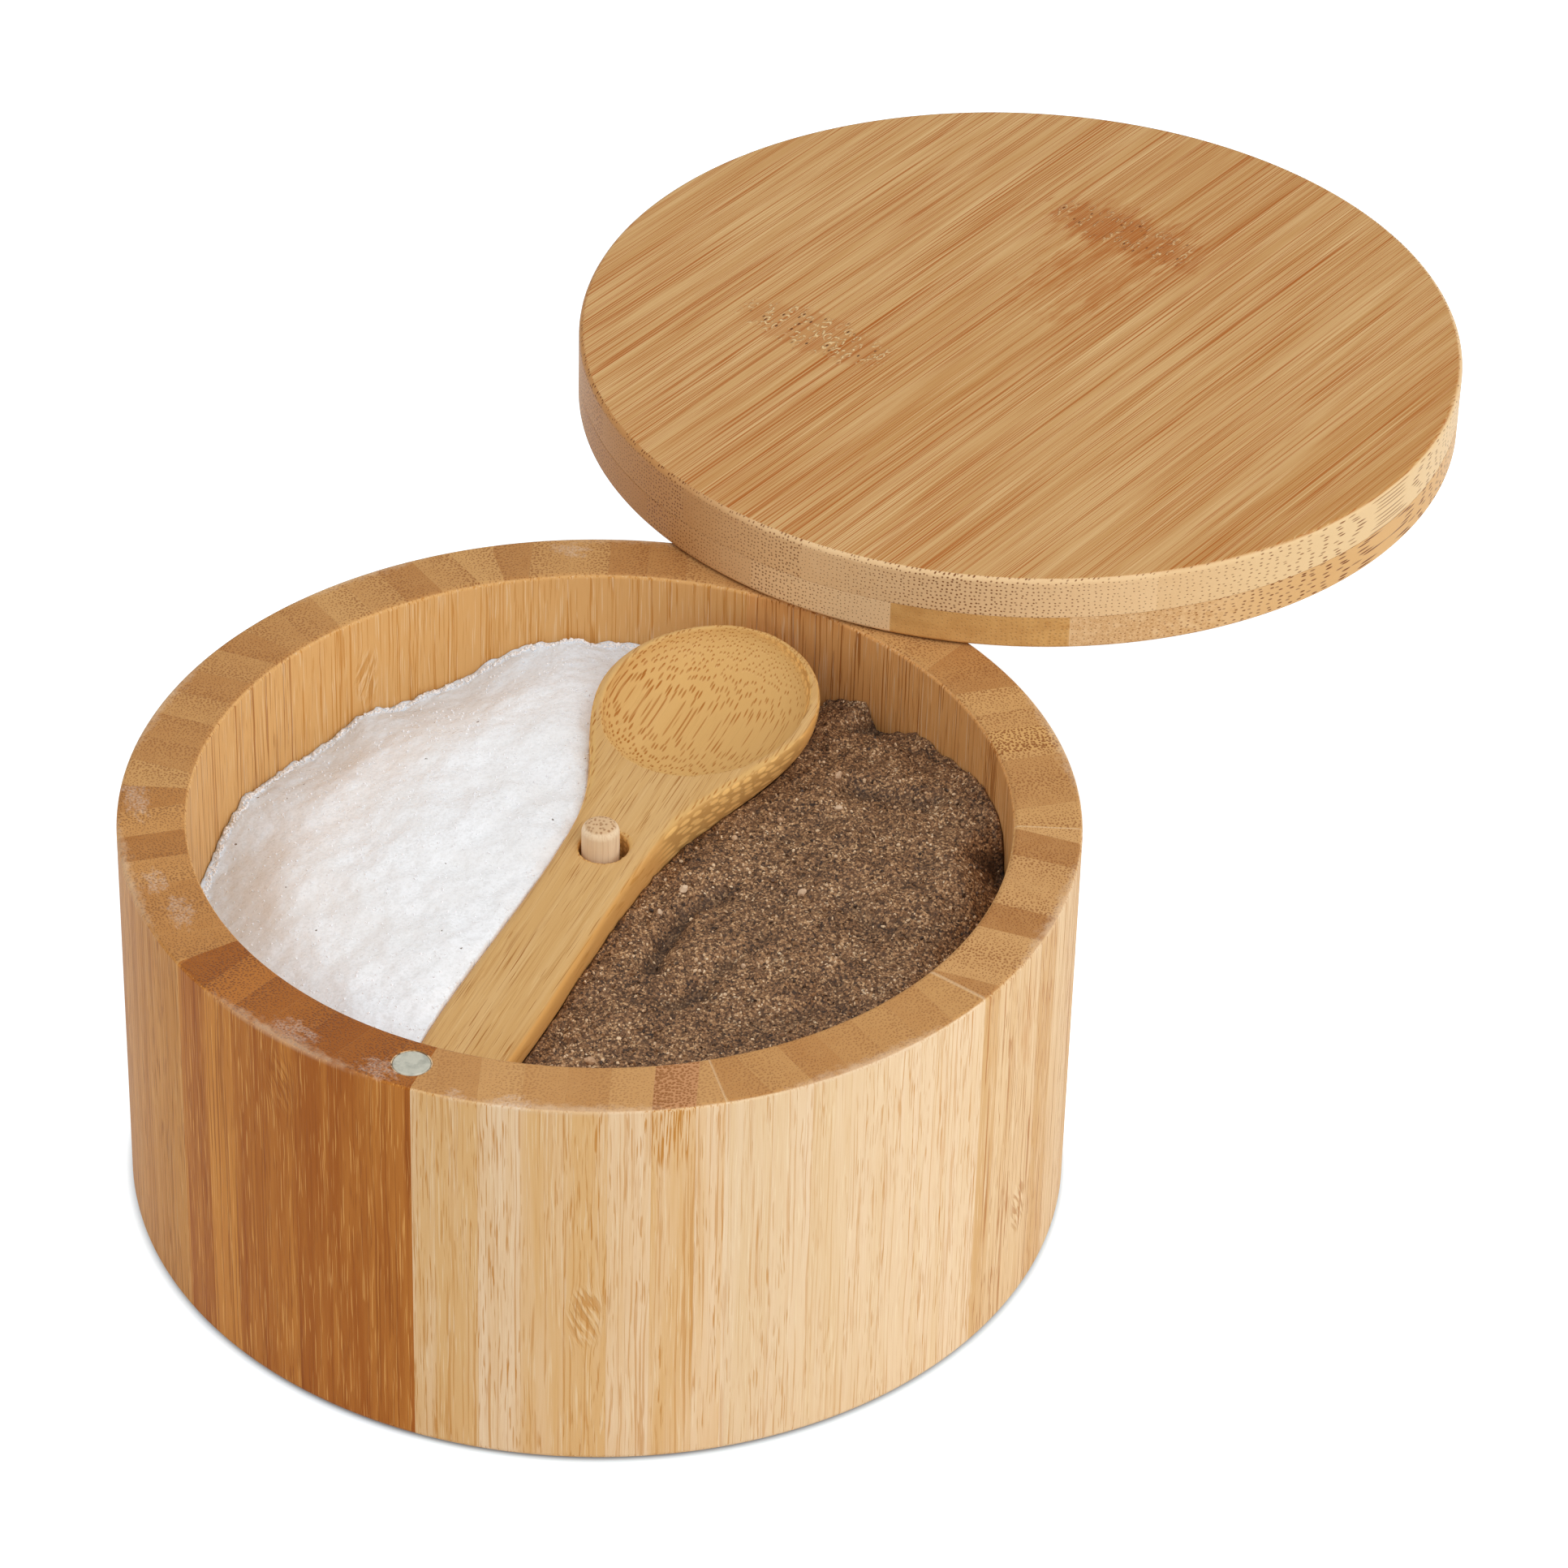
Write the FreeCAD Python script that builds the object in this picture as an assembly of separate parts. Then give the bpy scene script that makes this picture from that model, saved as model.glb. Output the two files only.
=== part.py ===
import FreeCAD
import Part
import math
import os

# A round bamboo box for salt and pepper with a lid that swivels sideways on a pin in the rim.
# Lengths are millimetres. The origin is the centre of the underside, Z is up,
# +Y points at the lid's pin and -Y at the magnet in the rim. Salt is on -X and pepper on +X.

Vector = FreeCAD.Vector
up = Vector(0, 0, 1)
centre = Vector(0, 0, 0)

# The wall is glued from equal staves with mitred joints, then turned round
body_radius = 62.5
body_height = 57.0
wall = 9.0
stave_count = 10
first_joint_angle = -88.3
rim_outer_round = 0.6
rim_inner_round = 0.8
foot_round = 1.0

# The floor disc is let into the foot of the wall from below
base_thickness = 7.0
base_rabbet = 3.0

# The divider stands on the floor with its ends housed in the wall
divider_thickness = 8.5
divider_drop = 13.5
divider_housing = 1.5
divider_round = 0.6

# One glue line serves every glued joint, and one overrun every cut
glue_line = 0.05
overrun = 2.0

# The dowel in the divider that holds the spoon
peg_radius = 2.5
peg_stand = 10.8
peg_embed = 10.0
peg_crown_round = 1.2
peg_foot_round = 0.4

# The lid is as wide as the body: two plies of parallel strips, with staggered joints
lid_upper_thickness = 6.0
lid_lower_thickness = 5.0
lid_gap = 0.25
lid_top_round = 0.8
lid_bottom_round = 0.6
strips_across = 6
upper_stagger_share = 0.384
lid_open_angle = 165.0

# A magnet in the rim meets one in the lid's underside
magnet_radius = 2.4
magnet_thickness = 3.0
magnet_edge_round = 0.2
magnet_glue_line = 0.2

# The steel pin is glued into the rim and its head is trapped between the plies
pin_radius = 2.0
pin_depth = 16.0
pin_point_round = 0.5
pin_clearance = 0.05
collar_radius = 3.2
collar_clearance = 0.05
head_radius = 3.2
head_thickness = 1.2
head_clearance = 0.3

# The spoon: room left between its ends and the wall, half widths, and thickness
spoon_tip_room = 3.4
spoon_handle_room = 3.5
spoon_shift = 0.6
spoon_turn = 0.6
handle_half_width = 5.9
handle_end_thickness = 4.0
spoon_peg_thickness = 7.0
bowl_half_width = 15.0
bowl_half_length = 16.85
tip_thickness = 1.8
spoon_seat_gap = 0.3
handle_top_round = 1.3
bowl_top_round = 0.8
handle_bottom_round = 1.1
shoulder_power = 1.15
keel_share = 0.35
hollow_lip = 1.55
hollow_front_lip = 0.6
hollow_depth = 6.2
peg_hole_radius = 3.3
peg_hole_shift = 0.45

# The contents: highest level below the rim, and how far the surface falls away
contents_drop = 7.5
contents_relief = 12.0
contents_gap = 0.3

# Fall of the surface from its highest level, as shares of the relief.
# Each row goes from the divider to the wall, and the rows go from the magnet to the pin.
salt_fall_shares = (
    (0.10, 0.30, 0.62, 0.95),
    (0.02, 0.14, 0.55, 0.95),
    (0.00, 0.08, 0.38, 0.80),
    (0.04, 0.08, 0.42, 0.72),
    (0.30, 0.30, 0.55, 0.80),
)
pepper_fall_shares = (
    (0.52, 0.48, 0.55, 0.62),
    (0.42, 0.38, 0.38, 0.46),
    (0.36, 0.26, 0.26, 0.34),
    (0.30, 0.20, 0.18, 0.18),
    (0.60, 0.38, 0.30, 0.22),
)

inner_radius = body_radius - wall
lid_radius = body_radius
strip_width = 2 * lid_radius / strips_across
spoon_tip_reach = inner_radius - spoon_tip_room
spoon_handle_reach = inner_radius - spoon_handle_room
rim_circle_radius = body_radius - wall / 2
divider_top = body_height - divider_drop
lid_bottom = body_height + lid_gap
lid_seam = lid_bottom + lid_lower_thickness
lid_top = lid_seam + lid_upper_thickness
stave_angle = 360 / stave_count
pivot = Vector(0, rim_circle_radius, 0)
magnet_place = Vector(0, -rim_circle_radius, 0)


def rounded_wire(corners):
    """A closed flat wire through (point, radius) corners, with an arc at each radius."""
    edges = []
    leave = []
    arrive = []
    for i, (point, radius) in enumerate(corners):
        back = (corners[i - 1][0] - point).normalize()
        ahead = (corners[(i + 1) % len(corners)][0] - point).normalize()
        half = back.getAngle(ahead) / 2
        inward = (back + ahead).normalize() if radius else centre
        arrive.append(point + back * (radius / math.tan(half)))
        leave.append(point + ahead * (radius / math.tan(half)))
        if radius:
            middle = point + inward * (radius / math.sin(half) - radius)
            edges.append(Part.Arc(arrive[i], middle, leave[i]).toShape())
    for i, start in enumerate(leave):
        edges.append(Part.LineSegment(start, arrive[(i + 1) % len(arrive)]).toShape())
    return Part.Wire(Part.__sortEdges__(edges))


def section(corners):
    """A flat face in the XZ plane from (radius, height, rounding) corners."""
    return Part.Face(rounded_wire([(Vector(r, 0, z), edge) for r, z, edge in corners]))


def turned(corners, at=centre):
    """A full turned solid about the vertical line through a point."""
    solid = section(corners).revolve(centre, up, 360)
    solid.translate(at)
    return solid


def block(x_range, y_range, z_range):
    """A box between two limits on each axis."""
    low = Vector(x_range[0], y_range[0], z_range[0])
    sizes = [limits[1] - limits[0] for limits in (x_range, y_range, z_range)]
    return Part.makeBox(sizes[0], sizes[1], sizes[2], low)


def carved(shape, tools):
    """The shape with those tools cut away that reach it."""
    for tool in tools:
        if shape.common(tool).Solids:
            shape = shape.cut(tool)
    return shape


def between(share, low, high):
    """The value at a share of the way from low to high."""
    return low + (high - low) * share


def eased(share):
    """A share that starts and ends level."""
    share = min(max(share, 0), 1)
    return share * share * (3 - 2 * share)


# Body


def magnet_pocket(bottom, top):
    radius = magnet_radius + magnet_glue_line
    return Part.makeCylinder(radius, top - bottom, magnet_place + up * bottom)


def divider_groove():
    half = divider_thickness / 2 + glue_line
    reach = inner_radius + divider_housing
    return block((-half, half), (-reach, reach), (0, divider_top + glue_line))


def pin_hole():
    bottom = body_height - pin_depth - glue_line
    return Part.makeCylinder(pin_radius + glue_line, pin_depth + overrun, pivot + up * bottom)


def wall_section():
    ledge = inner_radius + base_rabbet
    return section(
        [
            (ledge, 0, 0),
            (body_radius, 0, foot_round),
            (body_radius, body_height, rim_outer_round),
            (inner_radius, body_height, rim_inner_round),
            (inner_radius, base_thickness, 0),
            (ledge, base_thickness, 0),
        ]
    )


def stave(number):
    """One stave of the ring, with its share of the groove, the pocket and the hole."""
    face = wall_section()
    face.rotate(centre, up, first_joint_angle + stave_angle * number)
    ring_part = face.revolve(centre, up, stave_angle)
    pocket = magnet_pocket(body_height - magnet_thickness, body_height + overrun)
    return carved(ring_part, [divider_groove(), pocket, pin_hole()])


def base_panel():
    radius = inner_radius + base_rabbet - glue_line
    return turned([(0, 0, 0), (radius, 0, 0), (radius, base_thickness, 0), (0, base_thickness, 0)])


def divider():
    """The upright board, rounded along its top, with the hole for the peg."""
    half = divider_thickness / 2
    reach = inner_radius + divider_housing - glue_line
    corners = [
        (Vector(-half, -reach, base_thickness), 0),
        (Vector(half, -reach, base_thickness), 0),
        (Vector(half, -reach, divider_top), divider_round),
        (Vector(-half, -reach, divider_top), divider_round),
    ]
    board = Part.Face(rounded_wire(corners)).extrude(Vector(0, 2 * reach, 0))
    hole_bottom = divider_top - peg_embed - glue_line
    hole = Part.makeCylinder(peg_radius + glue_line, peg_embed + overrun, up * hole_bottom)
    return carved(board, [hole])


def peg():
    low = divider_top - peg_embed
    high = divider_top + peg_stand
    return turned(
        [
            (0, low, 0),
            (peg_radius, low, peg_foot_round),
            (peg_radius, high, peg_crown_round),
            (0, high, 0),
        ]
    )


def magnet(bottom):
    top = bottom + magnet_thickness
    return turned(
        [
            (0, bottom, 0),
            (magnet_radius, bottom, magnet_edge_round),
            (magnet_radius, top, magnet_edge_round),
            (0, top, 0),
        ],
        magnet_place,
    )


def pivot_pin():
    """Shank in the rim, thin collar under the lid, journal in the lid, head between the plies."""
    collar_top = lid_bottom - collar_clearance
    head_bottom = lid_seam - head_clearance - head_thickness
    head_top = head_bottom + head_thickness
    return turned(
        [
            (0, body_height - pin_depth, 0),
            (pin_radius, body_height - pin_depth, pin_point_round),
            (pin_radius, body_height, 0),
            (collar_radius, body_height, 0),
            (collar_radius, collar_top, 0),
            (pin_radius, collar_top, 0),
            (pin_radius, head_bottom, 0),
            (head_radius, head_bottom, 0),
            (head_radius, head_top, 0),
            (0, head_top, 0),
        ],
        pivot,
    )


# Lid, made shut over the body and then swung open


def ply(bottom, top, bottom_round, top_round):
    return turned(
        [(0, bottom, 0), (lid_radius, bottom, bottom_round), (lid_radius, top, top_round), (0, top, 0)]
    )


def strips(disc, bottom, top, stagger_share):
    """The disc cut into parallel strips that run from the pin to the magnet."""
    joints = [strip_width * (i - stagger_share) - lid_radius for i in range(1, strips_across + 1)]
    inside = [place for place in joints if place < lid_radius - glue_line]
    edges = [-lid_radius - overrun] + inside + [lid_radius + overrun]
    reach = (-lid_radius - overrun, lid_radius + overrun)
    found = []
    for low, high in zip(edges, edges[1:]):
        found.append(disc.common(block((low, high), reach, (bottom, top))))
    return found


def upper_strips():
    disc = ply(lid_seam, lid_top, 0, lid_top_round)
    return strips(disc, lid_seam, lid_top, upper_stagger_share)


def lower_strips():
    """The lower ply with the magnet's pocket, the pin's bore and the pocket for its head."""
    disc = ply(lid_bottom, lid_seam, lid_bottom_round, 0)
    bore = Part.makeCylinder(
        pin_radius + pin_clearance, lid_lower_thickness + 2 * overrun, pivot + up * (lid_bottom - overrun)
    )
    head_floor = lid_seam - head_thickness - 2 * head_clearance
    head_pocket = Part.makeCylinder(
        head_radius + head_clearance, lid_seam - head_floor + overrun, pivot + up * head_floor
    )
    tools = [magnet_pocket(lid_bottom - overrun, lid_bottom + magnet_thickness), bore, head_pocket]
    cut = strips(disc, lid_bottom, lid_seam, 0)
    return [carved(strip, tools) for strip in cut]


def swung(shape):
    shape.rotate(pivot, up, lid_open_angle)
    return shape


# Spoon


def spoon_floor():
    return divider_top + spoon_seat_gap


def spoon_slope():
    rise = spoon_peg_thickness - handle_end_thickness
    return rise / spoon_handle_reach


def spoon_half_width(y, margin):
    """Half width of the outline: round end, straight handle, flared shoulder, oval bowl."""
    bowl_middle = spoon_tip_reach - bowl_half_length
    round_end = -spoon_handle_reach + handle_half_width
    if y > bowl_middle:
        share = (y - bowl_middle) / (bowl_half_length + margin)
        return (bowl_half_width + margin) * math.sqrt(max(1 - share * share, 0))
    if y < round_end:
        share = (round_end - y) / (handle_half_width + margin)
        return (handle_half_width + margin) * math.sqrt(max(1 - share * share, 0))
    flare = eased(max(y / bowl_middle, 0) ** shoulder_power)
    return between(flare, handle_half_width, bowl_half_width) + margin


def spoon_stations(margin):
    """Places along the spoon, closer together towards its two round ends."""
    bowl_middle = spoon_tip_reach - bowl_half_length
    round_end = -spoon_handle_reach + handle_half_width
    end_shares = (0.985, 0.88, 0.6, 0.25)
    body_shares = (0, 0.3, 0.57, 0.68, 0.79, 0.9, 1)
    tip_shares = (0.3, 0.55, 0.76, 0.91, 0.99)
    ends = [round_end - share * (handle_half_width + margin) for share in end_shares]
    body = [between(share, round_end, bowl_middle) for share in body_shares]
    tips = [bowl_middle + share * (bowl_half_length + margin) for share in tip_shares]
    return ends + body + tips


def spoon_ring(y, margin, top=None):
    """One cross section: level top, rounded top edges, and a keel that is narrow in the bowl.

    With a top of its own the section runs straight up to it, as the space the spoon lifts through."""
    bowl_middle = spoon_tip_reach - bowl_half_length
    half = spoon_half_width(y, margin)
    flare = eased(y / bowl_middle)
    surface = spoon_floor() + spoon_peg_thickness + spoon_slope() * y
    tip_share = max((y - bowl_middle) / (bowl_half_length + margin), 0)
    depth_share = math.sqrt(max(1 - tip_share * tip_share, 0))
    bottom = surface - between(depth_share, tip_thickness, surface - spoon_floor()) - margin
    edge = min(between(flare, handle_top_round, bowl_top_round), half / 2)
    keel = between(flare, half - min(handle_bottom_round, half / 2), half * keel_share)
    high = surface if top is None else top
    turn = edge * (1 - math.sqrt(1 / 2))
    right = [
        Vector(half - edge, y, high),
        Vector(half - turn, y, high - turn),
        Vector(half, y, high - edge),
        Vector(half, y, surface - edge),
        Vector(half, y, bottom),
        Vector(keel, y, bottom),
    ]
    left = [Vector(-p.x, p.y, p.z) for p in right]
    sides = []
    for points in (right, left):
        flank = Part.BezierCurve()
        flank.setPoles(points[3:])
        flank.setWeight(2, math.sqrt(1 / 2))
        curves = [Part.Arc(*points[:3]), flank]
        if top is not None:
            curves.insert(1, Part.LineSegment(points[2], points[3]))
        sides.append([curve.toShape() for curve in curves])
    crown = Part.LineSegment(left[0], right[0]).toShape()
    foot = Part.LineSegment(right[-1], left[-1]).toShape()
    return Part.Wire([crown] + sides[0] + [foot] + sides[1][::-1])


def laid(shape):
    """The shape moved and turned a little about the peg, as the spoon lies on the contents."""
    shape.translate(Vector(spoon_shift, 0, 0))
    shape.rotate(centre, up, -spoon_turn)
    return shape


def spoon_blank(margin=0, top=None):
    """The solid spoon without its hollow, lofted through cross sections."""
    rings = [spoon_ring(y, margin, top) for y in spoon_stations(margin)]
    return laid(Part.makeLoft(rings, True, False))


def bowl_hollow():
    """The oval hollow of the bowl, a squashed sphere sunk to its middle in the sloping top."""
    half_width = bowl_half_width - hollow_lip
    back = spoon_tip_reach - hollow_front_lip
    half_length = bowl_half_length - hollow_front_lip
    middle = back - half_length
    stretch = FreeCAD.Matrix()
    stretch.scale(Vector(half_width, half_length, hollow_depth))
    ball = Part.makeSphere(1).transformGeometry(stretch)
    ball.rotate(centre, Vector(1, 0, 0), math.degrees(math.atan(spoon_slope())))
    surface = spoon_floor() + spoon_peg_thickness + spoon_slope() * middle
    ball.translate(Vector(0, middle, surface))
    return laid(ball)


def spoon():
    hole_height = spoon_peg_thickness + 2 * overrun
    hole_place = Vector(peg_hole_shift, 0, spoon_floor() - overrun)
    hole = Part.makeCylinder(peg_hole_radius, hole_height, hole_place)
    return spoon_blank().cut(bowl_hollow()).cut(hole)


# Contents


def heap(side, fall_shares):
    """Salt or pepper on one side of the divider, with a soft uneven surface under the spoon."""
    level = body_height - contents_drop
    reach = inner_radius + overrun
    rows = []
    for i, row in enumerate(fall_shares):
        y = between(i / (len(fall_shares) - 1), -reach, reach)
        heights = [level - contents_relief * share for share in row]
        places = [side * reach * j / (len(row) - 1) for j in range(len(row))]
        rows.append([Vector(x, y, z) for x, z in zip(places, heights)])
    surface = Part.BSplineSurface()
    surface.interpolate(rows)
    mass = surface.toShape().extrude(Vector(0, 0, -body_height))
    inside = Part.makeCylinder(inner_radius - glue_line, body_height, up * base_thickness)
    edge = divider_thickness / 2 + glue_line
    limits = sorted((side * edge, side * reach))
    inside = inside.common(block(limits, (-reach, reach), (base_thickness, body_height)))
    pocket = spoon_blank(contents_gap, body_height + overrun)
    return inside.common(mass).cut(pocket)


def build():
    """Every piece by its name."""
    pieces = {}
    for number in range(stave_count):
        pieces["wall_stave_%02d" % (number + 1)] = stave(number)
    pieces["base_panel"] = base_panel()
    pieces["divider"] = divider()
    pieces["spoon_peg"] = peg()
    pieces["rim_magnet"] = magnet(body_height - magnet_thickness)
    pieces["pivot_pin"] = pivot_pin()
    pieces["salt"] = heap(-1, salt_fall_shares)
    pieces["pepper"] = heap(1, pepper_fall_shares)
    pieces["spoon"] = spoon()
    for number, strip in enumerate(upper_strips()):
        pieces["lid_upper_strip_%d" % (number + 1)] = swung(strip)
    for number, strip in enumerate(lower_strips()):
        pieces["lid_lower_strip_%d" % (number + 1)] = swung(strip)
    pieces["lid_magnet"] = swung(magnet(lid_bottom))
    return pieces


os.makedirs("parts", exist_ok=True)
for name, shape in build().items():
    shape.exportStep("parts/" + name + ".step")
    print(name, len(shape.Solids), round(shape.Volume), shape.isValid())
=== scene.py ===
import bmesh
import bpy
import math
import numpy as np
from mathutils import Euler, Matrix, Vector, noise
from mathutils.bvhtree import BVHTree


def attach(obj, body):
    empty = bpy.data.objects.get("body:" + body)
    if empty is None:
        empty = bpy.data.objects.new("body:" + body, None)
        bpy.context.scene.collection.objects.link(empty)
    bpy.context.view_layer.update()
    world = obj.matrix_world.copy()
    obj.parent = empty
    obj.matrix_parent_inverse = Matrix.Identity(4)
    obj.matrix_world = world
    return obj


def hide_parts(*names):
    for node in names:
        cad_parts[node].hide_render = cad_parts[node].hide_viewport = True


# A round bamboo box for salt and pepper, with its lid swung open and its spoon on the peg.
# Lengths in the settings are millimetres and angles are degrees.

mm = 0.001
overrun = 2  # how far a cutter reaches past the face it cuts
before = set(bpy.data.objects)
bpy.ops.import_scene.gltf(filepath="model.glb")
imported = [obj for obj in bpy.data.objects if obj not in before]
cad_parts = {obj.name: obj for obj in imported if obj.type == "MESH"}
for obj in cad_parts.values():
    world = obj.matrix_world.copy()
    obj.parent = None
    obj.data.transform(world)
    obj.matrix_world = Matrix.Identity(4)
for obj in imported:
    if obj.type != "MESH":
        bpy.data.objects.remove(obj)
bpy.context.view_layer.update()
print("Packed canister loaded")


# Shader helpers


def colour(red, green, blue):  # screen values up to 255
    parts = []
    for value in (red, green, blue):
        share = value / 255
        parts.append(share / 12.92 if share < 0.04045 else ((share + 0.055) / 1.055) ** 2.4)
    return (*parts, 1)


def operator(name, swapped=False):
    def act(one, other):
        return one.maths(name, other, one) if swapped else one.maths(name, one, other)
    return act


class Wire:  # a socket that can be reckoned with
    def __init__(self, finish, socket):
        self.finish = finish
        self.socket = socket

    def maths(self, operation, first, second=None):
        inputs = {0: first} if second is None else {0: first, 1: second}
        return self.finish.node("ShaderNodeMath", {"operation": operation}, inputs)

    def size(self):
        return self.maths("ABSOLUTE", self)

    __add__ = __radd__ = operator("ADD")
    __mul__ = __rmul__ = operator("MULTIPLY")
    __sub__ = operator("SUBTRACT")
    __rsub__ = operator("SUBTRACT", swapped=True)
    __truediv__ = operator("DIVIDE")
    __pow__ = operator("POWER")
    __gt__ = operator("GREATER_THAN")
    larger = operator("MAXIMUM")


class Finish:
    def __init__(self, name):
        self.material = bpy.data.materials.new(name)
        self.material.use_nodes = True
        self.tree = self.material.node_tree
        self.tree.nodes.clear()

    def node(self, kind, settings=None, inputs=None, out=0):
        made = self.tree.nodes.new(kind)
        for key, value in (settings or {}).items():
            if key == "stops":
                self.setStops(made.color_ramp, value)
            else:
                setattr(made, key, value)
        for key, value in (inputs or {}).items():
            if isinstance(value, Wire):
                self.tree.links.new(value.socket, made.inputs[key])
            else:
                made.inputs[key].default_value = value
        return Wire(self, made.outputs[out]) if len(made.outputs) else made

    def setStops(self, ramp, stops):
        while len(ramp.elements) < len(stops):
            ramp.elements.new(1)
        for element, (place, tone) in zip(ramp.elements, stops):
            element.position = place
            element.color = colour(*tone)

    def mix(self, share, first, second, blend="MIX"):
        settings = {"data_type": "RGBA", "blend_type": blend, "clamp_factor": True}
        first, second = (tone if isinstance(tone, Wire) else colour(*tone) for tone in (first, second))
        return self.node("ShaderNodeMix", settings, {0: share, 6: first, 7: second}, 2)

    def ease(self, value, low, high):  # 0 at low and 1 at high, with soft ends
        settings = {"interpolation_type": "SMOOTHSTEP"}
        inputs = {"Value": value, "From Min": low, "From Max": high}
        return self.node("ShaderNodeMapRange", settings, inputs)

    def vector(self, x, y, z=0):
        return self.node("ShaderNodeCombineXYZ", None, {0: x, 1: y, 2: z})

    def parts(self, vector):
        split = self.node("ShaderNodeSeparateXYZ", None, {0: vector}).socket.node
        return [Wire(self, socket) for socket in split.outputs]

    def place(self, turn=0):  # where the surface lies, in millimetres, turned back about Z
        own = self.node("ShaderNodeTexCoord", None, None, "Object")
        inputs = {"Vector": own, "Scale": (1 / mm,) * 3, "Rotation": (0, 0, -math.radians(turn))}
        return self.parts(self.node("ShaderNodeMapping", None, inputs))

    def noise(self, x, y, z, detail=1, out=0, scale=1):
        inputs = {"Vector": self.vector(x, y, z), "Scale": scale, "Detail": detail}
        return self.node("ShaderNodeTexNoise", None, inputs, out)

    def cells(self, x, y, z=None, random=1, out=0, scale=1):
        settings = {"voronoi_dimensions": "2D" if z is None else "3D"}
        inputs = {"Vector": self.vector(x, y, z or 0), "Scale": scale, "Randomness": random}
        return self.node("ShaderNodeTexVoronoi", settings, inputs, out)

    def dent(self, height, strength, depth):
        inputs = {"Height": height, "Strength": strength, "Distance": depth * mm}
        return self.node("ShaderNodeBump", None, inputs)

    def surface(self, inputs):
        shader = self.node("ShaderNodeBsdfPrincipled", None, inputs)
        self.node("ShaderNodeOutputMaterial", None, {0: shader})
        return self.material


# Bamboo

# Grain runs along "along", the strips are stacked across it, and "through" is the third way.
# "From" values are where a pattern starts and where it is full. A knot, pit, stain or hollow
# starts with its place across and along and its half width and half length.
plainBamboo = {
    "upright": True, "turn": 0, "middle": 58, "seed": 0, "stripWidth": 5.35, "stripShift": 2.7,
    "tones": ((238, 208, 168), (228, 190, 142)), "toneSpread": 0.8, "broad": 0.5,
    # The inner face's darker, more orange tone is painted shade and warm bounce light inside the hollow.
    "inner": (225, 175, 112), "innerDepth": (-3.6, -4.3), "innerLines": 0.8,
    "streak": (200, 138, 66), "bright": (252, 230, 192), "fine": 0.5,
    "lines": 0.55, "lineScale": 3.4, "lineLength": 45, "lineFrom": (0.56, 0.63),
    "dashes": 0.75, "dashScale": 5.2, "dashLength": 5.5, "dashFrom": (0.585, 0.66),
    "dashRelief": 0.4,
    "brightLines": 0.35, "shineScale": 5.5, "shineLength": 10,
    "wander": 0.35, "wanderLength": 18, "throughScale": 1.0, "tilt": 0,
    "endTones": ((206, 158, 100), (182, 128, 74)), "endFrom": (0.55, 0.85), "dot": (142, 84, 38),
    "core": (226, 186, 132),
    "dotGap": 0.45, "dotSize": 0.25, "dotRandom": 0.85, "dotAmount": 0.75, "coreAmount": 0.15,
    "comb": 0.0, "combGap": 1.0, "hollow": None, "flank": None, "flankSideAndLight": None, "standing": None,
    "redderShadedSide": None,
    "bands": (), "knots": (), "pits": (), "stains": (), "scuffs": (),
    "glueLine": 0.0, "wear": 0.0, "rough": 0.5, "bump": 0.05,
}


def fromOval(x, y, oval):  # 1 on the oval's outline, and less inside it
    middleX, middleY, halfX, halfY = oval
    return ((x - middleX) / halfX) ** 2 + ((y - middleY) / halfY) ** 2


def pitted(f, look, shade, across, along, ragged, bend):  # holes with pale lips, in ragged patches
    relief = 0
    for pit in look["pits"]:
        mask = f.ease(fromOval(across, along, pit) + ragged, 1, 0.4)
        hollow = f.cells(bend, along * 0.42)
        chanceD, chanceE = f.parts(f.cells(bend, along * 0.42, None, 1, 1))[:2]
        hole = f.ease(hollow, 0.16, 0.08) * (chanceD > 0.75) * mask
        lip = f.ease(hollow, 0.20, 0.30) * f.ease(hollow, 0.52, 0.40) * f.ease(chanceE, 0.35, 0.6)
        lip = lip * f.ease(f.noise(across * 1.3, along * 1.3, 0), 0.42, 0.56) * mask
        shade = f.mix(mask * 0.35, shade, look["streak"])
        shade = f.mix(lip * 0.9, shade, look["bright"])
        shade = f.mix(hole * 0.9, shade, (84, 44, 20))
        relief = relief + hole * 3 - lip * 4
    return shade, relief


def worn(f, look, shade, rough, x, spot):  # rubbed edges, glue lines and dusty scuffs on top of the rim
    across, through, along = spot
    blot = f.noise(across * 0.7, through * 1.1, along * 0.7, 4)
    top = f.ease(along, body["height"] - 1, body["height"])
    rubbed = f.ease(through + (blot - 0.5) * 3, 2.6, 4.6) * top * look["wear"]
    shade = f.mix(rubbed, shade, (228, 200, 168))
    if look["glueLine"]:
        fromMitre = x * math.tan(math.radians(body["staveAngle"] / 2)) - across.size()
        shade = f.mix(f.ease(fromMitre, 0.4, 0.1) * top * look["glueLine"], shade, (240, 212, 172))
    if look["scuffs"]:
        dust = 0
        for scuffAcross, scuffThrough, size in look["scuffs"]:
            gone = fromOval(across, through, (scuffAcross, scuffThrough, size, 2))
            dust = f.ease(gone + (blot - 0.5) * 4, 1, 0).larger(dust)
        dust = dust * top * f.ease(f.noise(across * 3, through * 3, 0), 0.2, 0.8) * 0.35
        shade = f.mix(dust, shade, (238, 222, 206))
        rough = rough + dust * 0.3
    return shade, rough


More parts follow.
